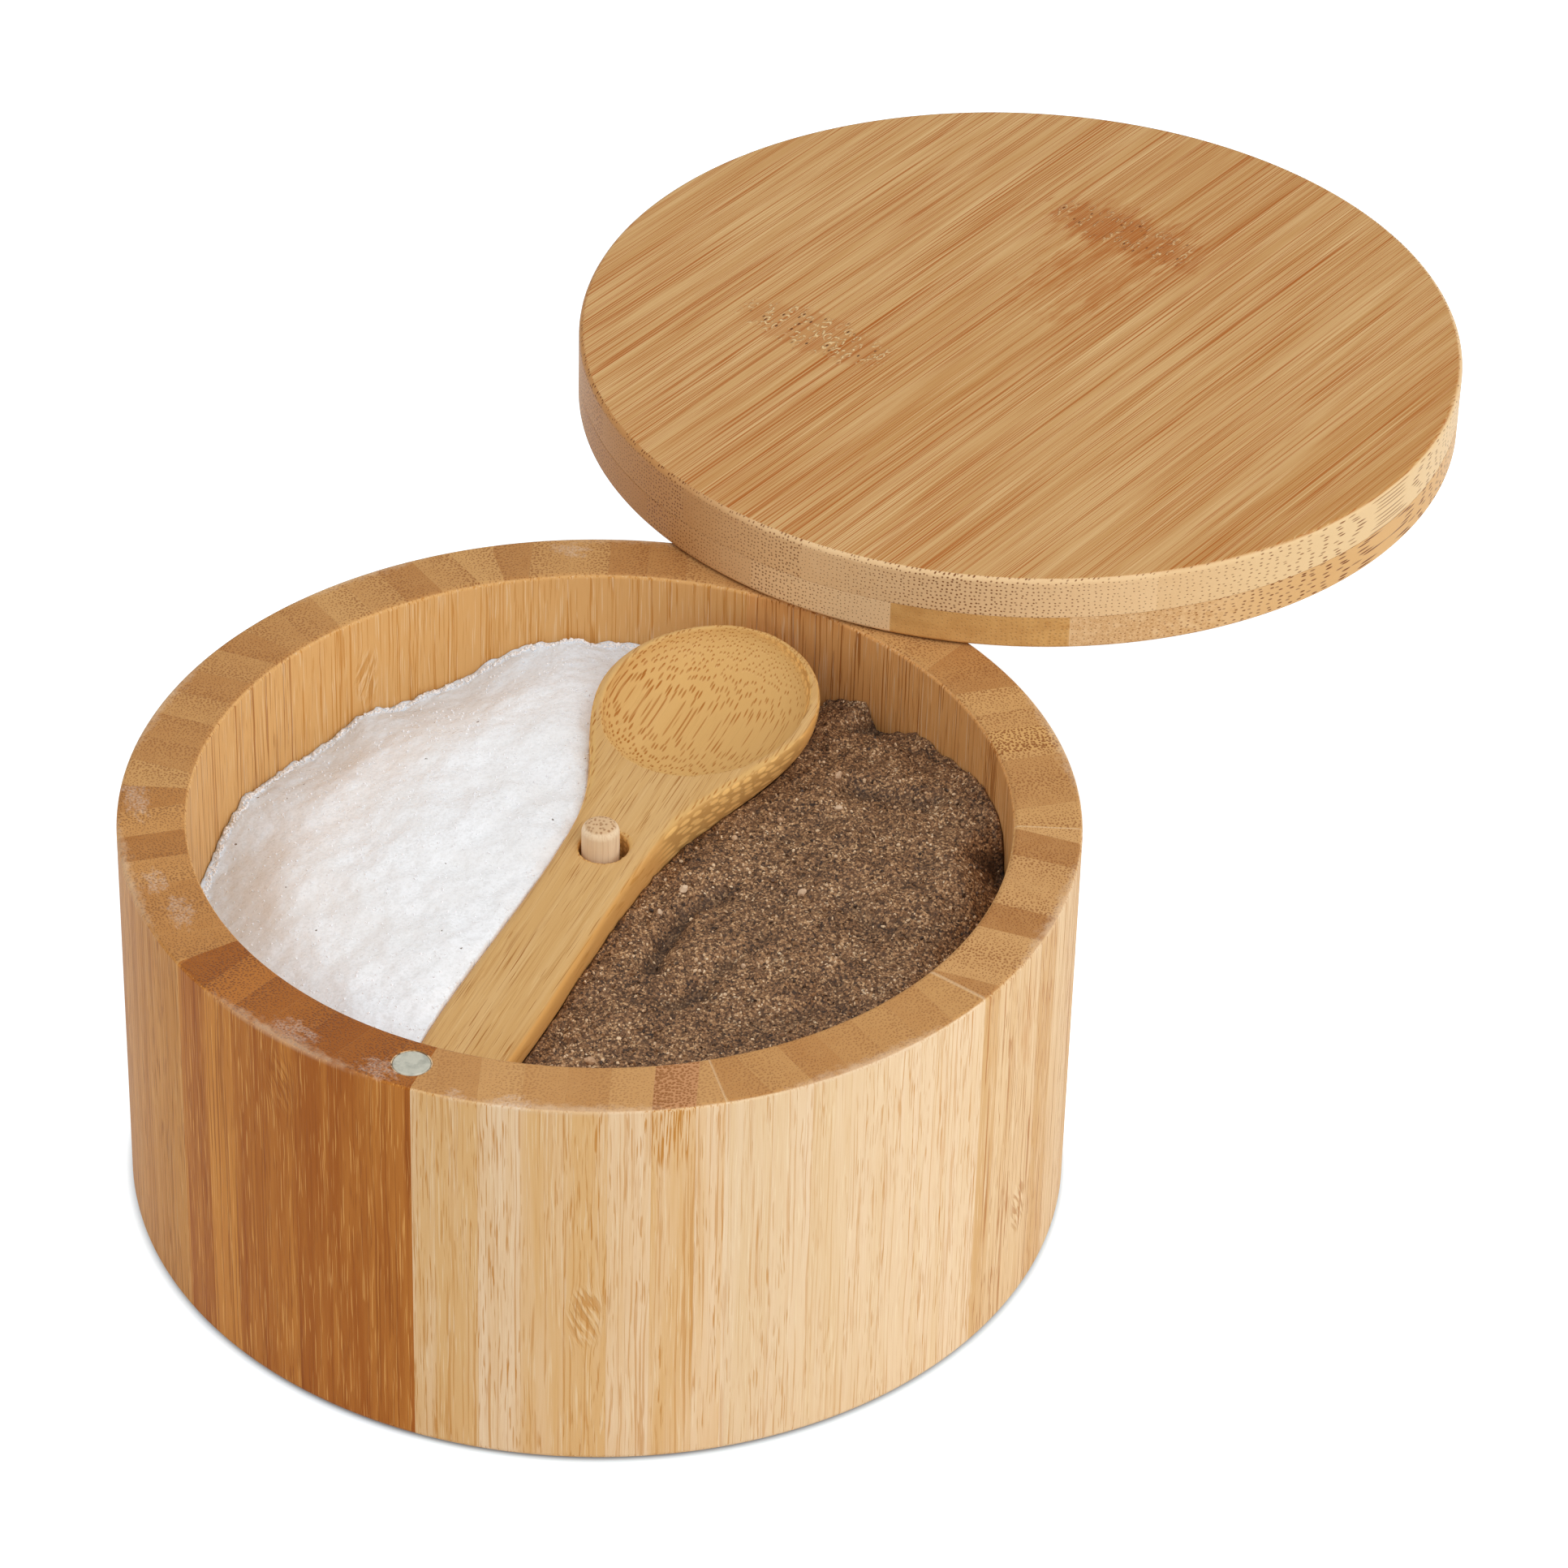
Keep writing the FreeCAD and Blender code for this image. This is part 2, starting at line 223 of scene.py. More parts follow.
def bamboo(name, changes):
    look = {**plainBamboo, **changes}
    f = Finish(name)
    normal = f.node("ShaderNodeTexCoord", None, None, "Normal")
    x, y, z = f.place(look["turn"])
    if look["upright"]:
        across, through, along = y, x - look["middle"], z
        grain = (0, 0, 1)
    else:
        along, across, through = x, y, z - look["middle"]
        grain = (math.cos(math.radians(look["turn"])), math.sin(math.radians(look["turn"])), 0)
    seed = look["seed"] * 7.3

    # Each strip has its own tone, and its own stretch of the grain
    strip = (across + look["stripShift"]) / look["stripWidth"]
    number = strip.maths("FLOOR", strip)
    inStrip = strip - number
    chance = f.node("ShaderNodeTexWhiteNoise", {"noise_dimensions": "1D"}, {"W": number + seed}, 1)
    chanceA, chanceB, chanceC = f.parts(chance)
    joint = f.ease((inStrip - 0.5).size(), 0.485, 0.5)
    run = along + chanceB * 300

    # The bundles wander a little along the grain, and bend round a knot
    drift = f.noise(across * 0.25 + seed, through * 0.25, run / look["wanderLength"], 2, 1)
    driftA, driftB, driftC = f.parts(drift)
    a = across + (driftA - 0.5) * (2 * look["wander"])
    t = (through + (driftB - 0.5) * (2 * look["wander"])) * look["throughScale"]
    knotMask = 0
    for *oval, depth in look["knots"]:
        mask = f.ease(fromOval(across, along, oval), 1, 0) * depth
        a = a - (across - oval[0]) * mask * 0.45
        knotMask = mask.larger(knotMask)

    # Long lines, short dashes, pale lines and fine fibres on the faces along the grain
    broad = f.noise(a * 0.5 + seed, t * 0.5, run * 0.02, 3)
    fibre = f.noise(a * 9 + seed, t * 9, run * 0.10, 2)
    patterns = []
    for kind, shift in (("line", 40), ("dash", 20), ("shine", 70)):
        scale, length = look[kind + "Scale"], look[kind + "Length"]
        patterns.append(f.noise(a * scale + seed, t * scale + shift, run / length))
    line, dash, shine = patterns
    group = f.noise(across * 0.35 + seed, through * 0.35 + 9, run * 0.03, 2)
    lines = f.ease(line, *look["lineFrom"]) * f.ease(group, 0.30, 0.55)
    dashes = f.ease(dash, *look["dashFrom"]) * f.ease(group + (chanceC - 0.5) * 0.2, 0.60, 0.42)
    shines = f.ease(shine, 0.60, 0.68)

    # Bundles seen end on: a dark ring with a pale heart, larger towards one side of a strip
    dense = (inStrip - (chanceC > 0.5)).size()
    size = (dense * 0.6 + 0.7) * look["dotSize"]
    bands = []
    for low, high, tint in look["bands"]:
        half = (high - low) / 2
        here = f.ease((across - (low + half)).size(), half + 0.1, half - 0.1)
        size = size + here * 0.12
        bands.append((here, tint))
    deep = t / look["throughScale"] + along * look["tilt"]
    u, v = a / look["dotGap"] + seed, deep / look["dotGap"]
    spot = f.cells(u, v, None, look["dotRandom"])
    spotChance = f.parts(f.cells(u, v, None, look["dotRandom"], 1))[0]
    heart = f.cells(u + 0.07, v + 0.16, None, look["dotRandom"])
    dots = f.ease(spot, size * 1.4, size * 0.7)
    hearts = f.ease(heart, size * 1.2, size * 0.3)

    # Faces along the grain
    toneShare = (chanceA - 0.5) * look["toneSpread"] + (broad - 0.5) * (look["broad"] * 4) + 0.5
    # painted shade and bounce light: the inner face takes a darker, more orange tone
    inside = f.ease(through, *look["innerDepth"])
    tone = f.mix(inside, f.mix(toneShare, *look["tones"]), look["inner"])
    amount = lines * (inside * (look["innerLines"] - look["lines"]) + look["lines"])
    amount = amount + dashes * (inside * -0.5 + 1) * look["dashes"] + (fibre - 0.45) * look["fine"]
    side = f.mix(amount + joint * 0.2, tone, look["streak"])
    side = f.mix(shines * look["brightLines"], side, look["bright"])

    # Faces across the grain
    endShare = chanceA * 0.9 + (fibre - 0.5) * 0.3 + (broad - 0.5) * look["broad"]
    end = f.mix(endShare, *look["endTones"])
    dotShare = dots * look["dotAmount"] * (dense * 0.3 + 0.8) * (spotChance * 0.4 + 0.75)
    if look["flank"]:  # outer faces that stand upright show the net between the bundles
        fromHollow = fromOval(across, along, look["hollow"])
        steep = f.ease(f.parts(normal)[2].size(), 0.85, 0.5) * f.ease(fromHollow, 0.96, 1.04)
        net = f.cells(a / look["combGap"], through / look["combGap"], None, 0.6)
        net = f.ease(net, 0.26, 0.42) * steep
        dotShare = dotShare * (1 - steep)
        # partly painted light: the flank's faces along the grain turn a brighter orange, the wood's own tone
        # lifted for a flank that lies in shade
        side = f.mix(steep * 0.55, side, look["flankSideAndLight"])
    for band, tint in bands:  # a strip with large bundles, and their short ends on the face below
        end = f.mix(band * 0.8, end, tint)
        dotShare = dotShare + band * dots * 0.5
        short = f.ease(dash, 0.52, 0.58) * f.ease(along + (fibre - 0.5) * 8, 46, 50) * band
        side = f.mix(short, side, look["streak"])
    end = f.mix(dotShare, end, look["dot"])
    if look["flank"]:
        end = f.mix(steep * 0.8, end, look["flank"])
        end = f.mix(net * look["comb"], end, look["streak"])
    product = {"operation": "DOT_PRODUCT"}
    facing = f.node("ShaderNodeVectorMath", product, {0: normal, 1: grain}, "Value").size()
    end = f.mix(hearts * look["coreAmount"] * f.ease(facing, 0.2, 0.5), end, look["core"])
    end = f.mix(joint * 0.08, end, look["core"])

    endFace = f.ease(facing, *look["endFrom"])
    if look["flank"]:  # the hollow shows the bundles all over
        endFace = endFace.larger(f.ease(fromHollow, 1.0, 0.9) * 0.85)
    if look["standing"]:  # the lid's edge is paler where it runs along the grain, and darker and more red towards one side, partly its denser bundles and partly painted shade
        upright = f.ease(f.parts(normal)[2].size(), 0.9, 0.6)
        end = f.mix(upright * f.ease(facing, 0.75, 0.2) * (1 - dotShare) * 0.7, end, look["standing"])
        # painted shade, with the denser bundles: darker and more red towards one side of the lid's edge
        end = f.mix(f.ease(across, -2, -36), end, look["redderShadedSide"], "MULTIPLY")
        endFace = endFace.larger(upright)
    shade = f.mix(endFace, side, end)

    # Curled grain in the knots, then pits, stains and wear
    curls = 0
    if look["knots"]:
        curl = f.noise(across * 2.6 + along * 1.1 + (driftC - 0.5) * 5, along * 0.35, through)
        fade = f.ease(knotMask, 0.05, 0.9) * (1 - endFace)
        curls = f.ease(curl, 0.50, 0.60) * fade
        shade = f.mix(curls * 0.6, shade, look["streak"])
        shade = f.mix(f.ease(curl, 0.46, 0.38) * fade * 0.3, shade, look["bright"])
    shade, relief = pitted(f, look, shade, across, along, (broad - 0.5) * 2, across * 0.95 + driftC)
    for *oval, depth, tint in look["stains"]:
        ragged = f.noise(across * 1.4, through, along * 0.22, 3) - 0.5
        soft = f.ease(fromOval(across, along, oval) + ragged * 4 + (fibre - 0.5), 1, 0)
        shade = f.mix(soft * depth * f.ease(line + fibre, 0.75, 1.1), shade, tint)
    rough = (fibre - 0.5) * 0.2 + look["rough"]
    if look["wear"]:
        shade, rough = worn(f, look, shade, rough, x, (across, through, along))
    sunken = dots * endFace * 0.7 + lines * 0.3 + dashes * look["dashRelief"] + joint * 0.3
    height = fibre * 0.35 + shines * 0.2 - (sunken + (curls + relief) * 1.5)
    dent = f.dent(height, 0.8, look["bump"])
    return f.surface({"Base Color": shade, "Roughness": rough, "Normal": dent, "Specular IOR Level": 0.08})


# Modelling helpers


def editMode():  # everything is selected on entering
    bpy.ops.object.mode_set(mode="EDIT")
    bpy.ops.mesh.select_all(action="SELECT")


def objectMode():
    bpy.ops.object.mode_set(mode="OBJECT")


def clearSelection():
    if bpy.context.object and bpy.context.object.mode != "OBJECT":
        objectMode()
    bpy.ops.object.select_all(action="DESELECT")


def pick(kind, test):  # in edit mode, selects what passes the test and nothing else
    bpy.ops.mesh.select_mode(type=kind)
    bpy.ops.mesh.select_all(action="DESELECT")
    mesh = bmesh.from_edit_mesh(bpy.context.object.data)
    for item in {"VERT": mesh.verts, "EDGE": mesh.edges}[kind]:
        if test(item):
            item.select_set(True)
    mesh.select_flush_mode()
    bmesh.update_edit_mesh(bpy.context.object.data)


def edgeMiddle(edge):
    return (edge.verts[0].co + edge.verts[1].co) / 2


def link(item):
    bpy.context.scene.collection.objects.link(item)
    return item


def choose(piece):  # selects this piece and nothing else
    clearSelection()
    piece.select_set(True)
    bpy.context.view_layer.objects.active = piece


def applyPlace(piece):
    choose(piece)
    bpy.ops.object.transform_apply(location=True, rotation=True, scale=True)


def applyModifiers(piece):
    choose(piece)
    for modifier in list(piece.modifiers):
        bpy.ops.object.modifier_apply(modifier=modifier.name)


def cutAway(piece, cutters):
    for cutter in cutters:
        cut = piece.modifiers.new("cut", "BOOLEAN")
        cut.operation = "DIFFERENCE"
        cut.solver = "EXACT"
        cut.object = cutter
    applyModifiers(piece)


def rod(radius, bottom, top, place=(0, 0), steps=64):
    clearSelection()
    middle = (place[0] * mm, place[1] * mm, (bottom + top) / 2 * mm)
    bpy.ops.mesh.primitive_cylinder_add(
        vertices=steps, radius=radius * mm, depth=(top - bottom) * mm, location=middle
    )
    made = bpy.context.object
    applyPlace(made)
    return made


def roundRing(height, radius, steps):  # rounds the circle of edges at this height
    editMode()
    pick("EDGE", lambda e: all(abs(v.co.z - height * mm) < 1e-6 for v in e.verts))
    bpy.ops.mesh.bevel(offset=radius * mm, segments=steps, affect="EDGES")
    objectMode()


def smooth(piece, angle=30):
    choose(piece)
    bpy.ops.object.shade_smooth_by_angle(angle=math.radians(angle))
    weighted = piece.modifiers.new("weighted", "WEIGHTED_NORMAL")
    weighted.keep_sharp = True
    applyModifiers(piece)


def dress(piece, material):
    piece.data.materials.clear()
    piece.data.materials.append(material)


def finishPiece(piece, name, rides, nodes, material):
    piece.name = name
    piece.data.name = name
    dress(piece, material)
    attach(piece, rides)
    if nodes:
        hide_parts(*nodes)
    return piece


def remove(*pieces):
    for piece in pieces:
        bpy.data.objects.remove(piece)


# Camera

view = {
    "place": (258.604, -600.472, 538.066),
    "azimuth": 21.227,
    "elevation": 36.107,
    "roll": 1.658,
    "lens": 143.75,
    "sensor": 36,
}


def makeCamera():
    data = bpy.data.cameras.new("camera")
    data.lens = view["lens"]
    data.sensor_width = view["sensor"]
    data.clip_start, data.clip_end = 0.01, 20
    camera = link(bpy.data.objects.new("camera", data))
    stand = Matrix.Translation(Vector(view["place"]) * mm)
    for angle, axis in ((view["azimuth"], "Z"), (90 - view["elevation"], "X"), (view["roll"], "Z")):
        stand = stand @ Matrix.Rotation(math.radians(angle), 4, axis)
    camera.matrix_world = stand
    bpy.context.scene.camera = camera


makeCamera()
print("Camera placed")

# Lights and floor

studio = {
    "world": 0.58,
    "lamps": {  # power, size, azimuth, elevation and distance
        "key": (2.8, 0.7, 60, 48, 0.9),
        "fill": (1.8, 0.9, -60, 55, 1.0),
        "side": (1.7, 0.6, 98, 16, 0.9),
    },
    "floorGlow": 0.55,
    "floorTone": (0.9, 1.05, 1.15),
    # the tone of the shadow painted on the floor round the foot
    "paintedShadowTone": (0.12, 0.12, 0.12),
    "bounceTone": (0.8, 0.8, 0.8),  # what the floor throws back at the object
    "target": (0, 30, 40),
    "floorWidth": 8000,
    "floorDrop": 0.1,
    "paintedShadowRadii": (60.7, 64.0),  # a painted shadow: the floor is dark at the foot and clears between these radii
}


def areaLight(name, power, size, azimuth, elevation, distance):
    data = bpy.data.lights.new(name, "AREA")
    data.shape = "DISK"
    data.size = size
    data.energy = power
    lamp = link(bpy.data.objects.new(name, data))
    turn, rise = math.radians(azimuth), math.radians(elevation)
    way = Vector((math.sin(turn) * math.cos(rise), -math.cos(turn) * math.cos(rise), math.sin(rise)))
    lamp.location = Vector(studio["target"]) * mm + way * distance
    lamp.rotation_euler = way.to_track_quat("Z", "Y").to_euler()


def makeStudio():
    world = bpy.data.worlds.new("studio")
    bpy.context.scene.world = world
    world.use_nodes = True
    world.node_tree.nodes["Background"].inputs["Color"].default_value = (1, 1, 1, 1)
    world.node_tree.nodes["Background"].inputs["Strength"].default_value = studio["world"]
    for name, plan in studio["lamps"].items():
        areaLight(name, *plan)
    clearSelection()
    place = (0, 0, -studio["floorDrop"] * mm)
    bpy.ops.mesh.primitive_plane_add(size=studio["floorWidth"] * mm, location=place)
    floor = bpy.context.object
    floor.name = "studio_floor"
    f = Finish("studio_floor")
    path = f.node("ShaderNodeLightPath", None, None, "Is Camera Ray")
    rays = path.socket.node.outputs
    for ray in ("Is Glossy Ray", "Is Transmission Ray"):
        path = path.larger(Wire(f, rays[ray]))
    tones = ((*studio[tone], 1) for tone in ("floorTone", "paintedShadowTone", "bounceTone"))
    matte, paintedShadowDiffuse, plain = (f.node("ShaderNodeBsdfDiffuse", None, {"Color": tone}) for tone in tones)
    glow = f.node("ShaderNodeEmission", None, {"Strength": studio["floorGlow"]})
    seen = f.node("ShaderNodeAddShader", None, {0: matte, 1: glow})
    x, y = f.place()[:2]
    # painted shadow: near the foot the camera sees a dark diffuse in place of the bright floor
    clear = f.ease((x * x + y * y) ** 0.5, *studio["paintedShadowRadii"])
    seen = f.node("ShaderNodeMixShader", None, {0: clear, 1: paintedShadowDiffuse, 2: seen})
    shader = f.node("ShaderNodeMixShader", None, {0: path, 1: plain, 2: seen})
    f.node("ShaderNodeOutputMaterial", None, {0: shader})
    floor.data.materials.append(f.material)


makeStudio()
bpy.context.scene.view_settings.view_transform = "Standard"
print("Studio lit")


# Body

body = {
    "radius": 62.5,
    "inner": 53.5,
    "height": 57,
    "ledge": 56.5,
    "floorTop": 7,
    "outerRound": 0.6,
    "innerRound": 0.8,
    "footRound": 1.0,
    "firstJoint": -88.3,
    "staveAngle": 36,
    "steps": 36,
    "grooveHalf": 4.3,
    "grooveReach": 55,
    "grooveTop": 43.55,
    "rimCircle": 58,
    "magnetPocket": 2.6,
    "magnetDepth": 3,
    "pinHole": 2.05,
    "pinDepth": 16.05,
    "panelGap": 0.05,
    "panelRound": 0.3,
    "rimWear": 0.45,
}

warmLook = {"tones": ((226, 188, 138), (212, 166, 110)), "streak": (170, 108, 52)}
largeDots = {"dotGap": 0.42, "dotSize": 0.27, "dotAmount": 0.7}
stavePieces = {
    1: {
        "stripShift": 0.3, "tones": ((242, 212, 174), (228, 184, 126)), "toneSpread": 1.3,
        "endTones": ((206, 158, 102), (188, 136, 82)), "dotAmount": 0.4,
        "bands": ((10.36, 15.7, (196, 140, 98)),), "knots": ((2.4, 24, 2.9, 6.5, 1.0),),
        "scuffs": ((-7, 3.5, 3), (-14, 3, 2)),
    },
    2: {
        "tones": ((242, 214, 178), (234, 202, 158)), "lines": 0.4, "dashes": 0.55, "dotAmount": 0.5,
        "glueLine": 0.35,
    },
    3: {
        "stripShift": 5.4, "tones": ((232, 198, 152), (216, 172, 116)), "streak": (180, 116, 54),
        "lines": 0.8, "endTones": ((208, 160, 104), (174, 120, 68)),
        "knots": ((-8.4, 16, 2.6, 6, 0.9),), "stains": ((-8.0, 46, 2.4, 9, 0.5, (196, 134, 70)),),
        "glueLine": 0.35,
    },
    4: {
        **warmLook, "inner": (224, 166, 102), "endTones": ((208, 160, 102), (176, 122, 70)),
        "bands": ((-1.1, 4.0, (212, 164, 102)),),
    },
    5: {**warmLook, "inner": (224, 166, 102), "innerLines": 0.9},
    6: {"scuffs": ((8, 1, 3),)},
    7: {"knots": ((4.0, 47, 2.6, 6, 0.8),)},
    8: {**warmLook, **largeDots},
    9: {
        **largeDots, "tones": ((214, 154, 84), (190, 126, 58)),
        "streak": (152, 88, 34), "bright": (232, 188, 126),
        "endTones": ((204, 150, 90), (172, 114, 60)), "dot": (128, 76, 36),
        "scuffs": ((-16, 0, 5), (2, 1, 3), (9, -1, 4)),
    },
    10: {
        **largeDots, "tones": ((210, 140, 64), (170, 97, 35)), "toneSpread": 1.0,
        "inner": (206, 146, 82), "streak": (144, 76, 24), "bright": (236, 174, 98), "dashes": 0.3,
        "brightLines": 0.6, "endTones": ((182, 116, 56), (150, 86, 38)), "dot": (108, 50, 22),
        "dotAmount": 0.8, "knots": ((0.5, 50, 3.2, 7, 0.6),), "scuffs": ((1, 2, 4), (14, 1, 3)),
    },
}
panelLook = {"upright": False, "turn": 20, "middle": 3, "seed": 21}


def staveSection():
    clearSelection()
    wide = (body["radius"] - body["inner"]) * mm
    high = (body["height"] - body["floorTop"]) * mm
    place = ((body["radius"] + body["inner"]) / 2 * mm, 0, (body["height"] + body["floorTop"]) / 2 * mm)
    bpy.ops.mesh.primitive_plane_add(size=1, location=place, rotation=(math.pi / 2, 0, 0))
    section = bpy.context.object
    section.scale = (wide, high, 1)
    applyPlace(section)
    editMode()
    bpy.ops.mesh.bisect(plane_co=(body["ledge"] * mm, 0, 0), plane_no=(1, 0, 0))
    low = body["floorTop"] * mm
    pick("EDGE", lambda e: abs(edgeMiddle(e).z - low) < 1e-6 and edgeMiddle(e).x > body["ledge"] * mm)
    bpy.ops.mesh.extrude_region_move(TRANSFORM_OT_translate={"value": (0, 0, -low)})
    bpy.ops.mesh.select_all(action="SELECT")
    bpy.ops.mesh.dissolve_faces()
    corners = (
        (body["radius"], body["height"], body["outerRound"]),
        (body["inner"], body["height"], body["innerRound"]),
        (body["radius"], 0, body["footRound"]),
    )
    for radius, height, size in corners:
        spot = Vector((radius * mm, 0, height * mm))
        pick("VERT", lambda v: (v.co - spot).length < 1e-5)
        bpy.ops.mesh.bevel(offset=size * mm, segments=5, affect="VERTICES")
    objectMode()
    return section


def makeStave(number, cutters):
    stave = staveSection()
    stave.rotation_euler.z = math.radians(body["firstJoint"] + body["staveAngle"] * (number - 1))
    applyPlace(stave)
    editMode()
    bpy.ops.mesh.spin(
        steps=body["steps"], angle=math.radians(body["staveAngle"]), center=(0, 0, 0), axis=(0, 0, -1)
    )
    bpy.ops.mesh.select_all(action="SELECT")
    bpy.ops.mesh.remove_doubles(threshold=1e-7)
    bpy.ops.mesh.normals_make_consistent(inside=False)
    objectMode()
    cutAway(stave, cutters)
    smooth(stave)
    name = "wall_stave_%02d" % number
    middle = body["firstJoint"] + body["staveAngle"] * (number - 0.5)
    plan = {"turn": middle, "seed": number, "wear": body["rimWear"], **stavePieces[number]}
    material = bamboo(name + "_bamboo", plan)
    return finishPiece(stave, name + "_wood", "canister", [name], material)


def makeBody():
    rim, top = body["rimCircle"], body["height"]
    pocket = rod(body["magnetPocket"], top - body["magnetDepth"], top + overrun, (0, -rim))
    pin = rod(body["pinHole"], top - body["pinDepth"], top + overrun, (0, rim), 32)
    clearSelection()
    bpy.ops.mesh.primitive_cube_add(size=1, location=(0, 0, body["grooveTop"] / 2 * mm))
    groove = bpy.context.object
    groove.scale = (2 * body["grooveHalf"] * mm, 2 * body["grooveReach"] * mm, body["grooveTop"] * mm)
    applyPlace(groove)
    forStave = {1: [pocket, groove], 10: [pocket, groove], 5: [pin, groove], 6: [pin, groove]}
    for number in stavePieces:
        makeStave(number, forStave.get(number, []))
    remove(pocket, pin, groove)
    panel = rod(body["ledge"] - body["panelGap"], 0, body["floorTop"], steps=192)
    roundRing(0, body["panelRound"], 2)
    smooth(panel)
    look = bamboo("floor_bamboo", panelLook)
    finishPiece(panel, "base_panel_wood", "canister", ["base_panel"], look)


makeBody()
print("Body turned")


# Small fittings

peg = {"radius": 2.5, "bottom": 33.5, "top": 54.3, "crown": 1.3, "foot": 0.4}
magnet = {"radius": 2.4, "thickness": 3, "edge": 0.25}
glue = {"depth": 1.5, "drop": 0.12, "outerGap": 0.01, "innerGap": 0.03}
pegLook = {
    "middle": 0, "seed": 31, "stripWidth": 20, "stripShift": 10,
    "tones": ((250, 228, 196), (238, 210, 172)),
    "innerDepth": (-20, -30),
    "streak": (196, 150, 104),
    "lines": 0.2, "dashes": 0.3,
    "endTones": ((224, 192, 152), (210, 172, 130)), "endFrom": (0.6, 0.9), "dot": (146, 98, 60),
    "dotGap": 0.6, "dotSize": 0.26,
    "rough": 0.6,
}
dividerLook = {"upright": False, "turn": 90, "middle": 0, "seed": 33, "stripWidth": 20}


def magnetMetal(name):
    f = Finish(name)
    spot = f.place()
    cloud = f.noise(*spot, 4, scale=0.9)
    grain = f.noise(*spot, 2, scale=12)
    shade = f.mix(f.ease(cloud, 0.35, 0.7), (214, 212, 196), (182, 182, 168))
    shade = f.mix(grain * 0.3, shade, (160, 158, 146))
    rough = cloud * 0.2 + grain * 0.15 + 0.35
    dent = f.dent(cloud + grain * 0.3, 0.6, 0.03)
    return f.surface({"Base Color": shade, "Metallic": 0.35, "Roughness": rough, "Normal": dent})


def gluedLook(name):
    f = Finish(name)
    blot = f.noise(*f.place(), 2, scale=1.4)
    shade = f.mix(f.ease(blot, 0.4, 0.62), (232, 206, 168), (128, 92, 62))
    return f.surface({"Base Color": shade, "Roughness": blot * 0.2 + 0.3})


def steel(name):
    f = Finish(name)
    x, y, z = f.place()
    turned = f.noise(x * 0.4, y * 0.4, z * 14, 3)
    shade = f.mix(turned, (188, 188, 186), (140, 140, 140))
    return f.surface({"Base Color": shade, "Metallic": 1.0, "Roughness": turned * 0.3 + 0.2})


def makeFittings():
    post = rod(peg["radius"], peg["bottom"], peg["top"], steps=96)
    roundRing(peg["top"], peg["crown"], 8)
    roundRing(peg["bottom"], peg["foot"], 3)
    smooth(post, 40)
    dowel = bamboo("dowel_bamboo", pegLook)
    finishPiece(post, "spoon_peg_dowel", "canister", ["spoon_peg"], dowel)
    top, place = body["height"], (0, -body["rimCircle"])
    disc = rod(magnet["radius"], top - magnet["thickness"], top, place, 96)
    roundRing(top, magnet["edge"], 3)
    smooth(disc)
    finishPiece(disc, "rim_magnet_disc", "canister", ["rim_magnet"], magnetMetal("magnet_plating"))
    low = top - glue["depth"]
    ring = rod(body["magnetPocket"] - glue["outerGap"], low, top - glue["drop"], place, 96)
    core = rod(magnet["radius"] + glue["innerGap"], low - overrun, top + overrun, place, 96)
    cutAway(ring, [core])
    remove(core)
    smooth(ring)
    finishPiece(ring, "magnet_glue_ring", "canister", [], gluedLook("magnet_glue"))
    dress(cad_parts["lid_magnet"], magnetMetal("lid_magnet_plating"))
    dress(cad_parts["pivot_pin"], steel("pin_steel"))
    dress(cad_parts["divider"], bamboo("divider_bamboo", dividerLook))


makeFittings()
print("Peg, magnets and pin made")


# Lid, shaped shut over the body and then swung open

lid = {
    "radius": 62.5,
    "gap": 0.25,
    "lower": 5,
    "upper": 6,
    "topRound": 0.8,
    "bottomRound": 0.6,
    "seamRound": 0.1,
    "goldenStrip": "lid_lower_strip_2",
    "stripsAcross": 6,
    "leastStrip": 0.05,
    "stagger": 0.384,
    "steps": 360,
    "opening": 165,
    "bore": 2.05,
    "headHole": 3.5,
    "headDrop": 1.8,
}
# Turned with the lid: the grain runs at 90 degrees plus the opening
lidLook = {
    "upright": False, "turn": 90 + lid["opening"], "stripWidth": 20.833,
    "tones": ((216, 177, 122), (195, 146, 87)), "toneSpread": 0.9,
    "innerDepth": (-40, -50),
    "streak": (173, 99, 38), "bright": (234, 200, 146), "fine": 0.8,
    "lines": 0.8, "lineScale": 6.5, "lineLength": 80, "lineFrom": (0.51, 0.60),
    "dashScale": 3.6, "dashLength": 70, "dashFrom": (0.58, 0.66),
    "brightLines": 0.5, "shineScale": 7, "shineLength": 50,
    "wander": 0.12, "wanderLength": 60,
    "endTones": ((240, 206, 160), (226, 186, 136)), "endFrom": (0.08, 0.3), "dot": (122, 68, 30),
    "core": (246, 214, 166),
    "dotGap": 0.58, "dotSize": 0.17, "dotRandom": 0.55, "dotAmount": 0.88, "coreAmount": 0.2,
    "rough": 0.46, "bump": 0.03,
}
upperLook = {
    "seed": 41, "stripShift": 7.01,
    "standing": (232, 202, 154), "redderShadedSide": (208, 178, 144),
    "pits": ((-37.2, -95.4, 14, 5.5), (-18.9, -145.6, 13, 5.0)),
    "stains": ((-18.9, -145.6, 14, 8, 0.95, (172, 98, 40)), (-16, -134, 9, 17, 0.75, (178, 108, 48))),
}
lowerLook = {
    "seed": 43, "stripShift": 15.01,
    "standing": (212, 162, 98), "redderShadedSide": (208, 178, 144),
    "stains": ((33, -74, 12, 16, 0.5, (186, 128, 62)), (-62, -100, 6, 16, 0.3, (186, 128, 62))),
}
goldenLook = {
    **lowerLook,
    "tones": ((206, 158, 94), (186, 136, 72)), "broad": 1.5,
    "endTones": ((220, 172, 106), (190, 136, 74)),
    "dotAmount": 0.3, "coreAmount": 0.1,
}


def swing():
    pivot = Matrix.Translation((0, body["rimCircle"] * mm, 0))
    return pivot @ Matrix.Rotation(math.radians(lid["opening"]), 4, "Z") @ pivot.inverted()


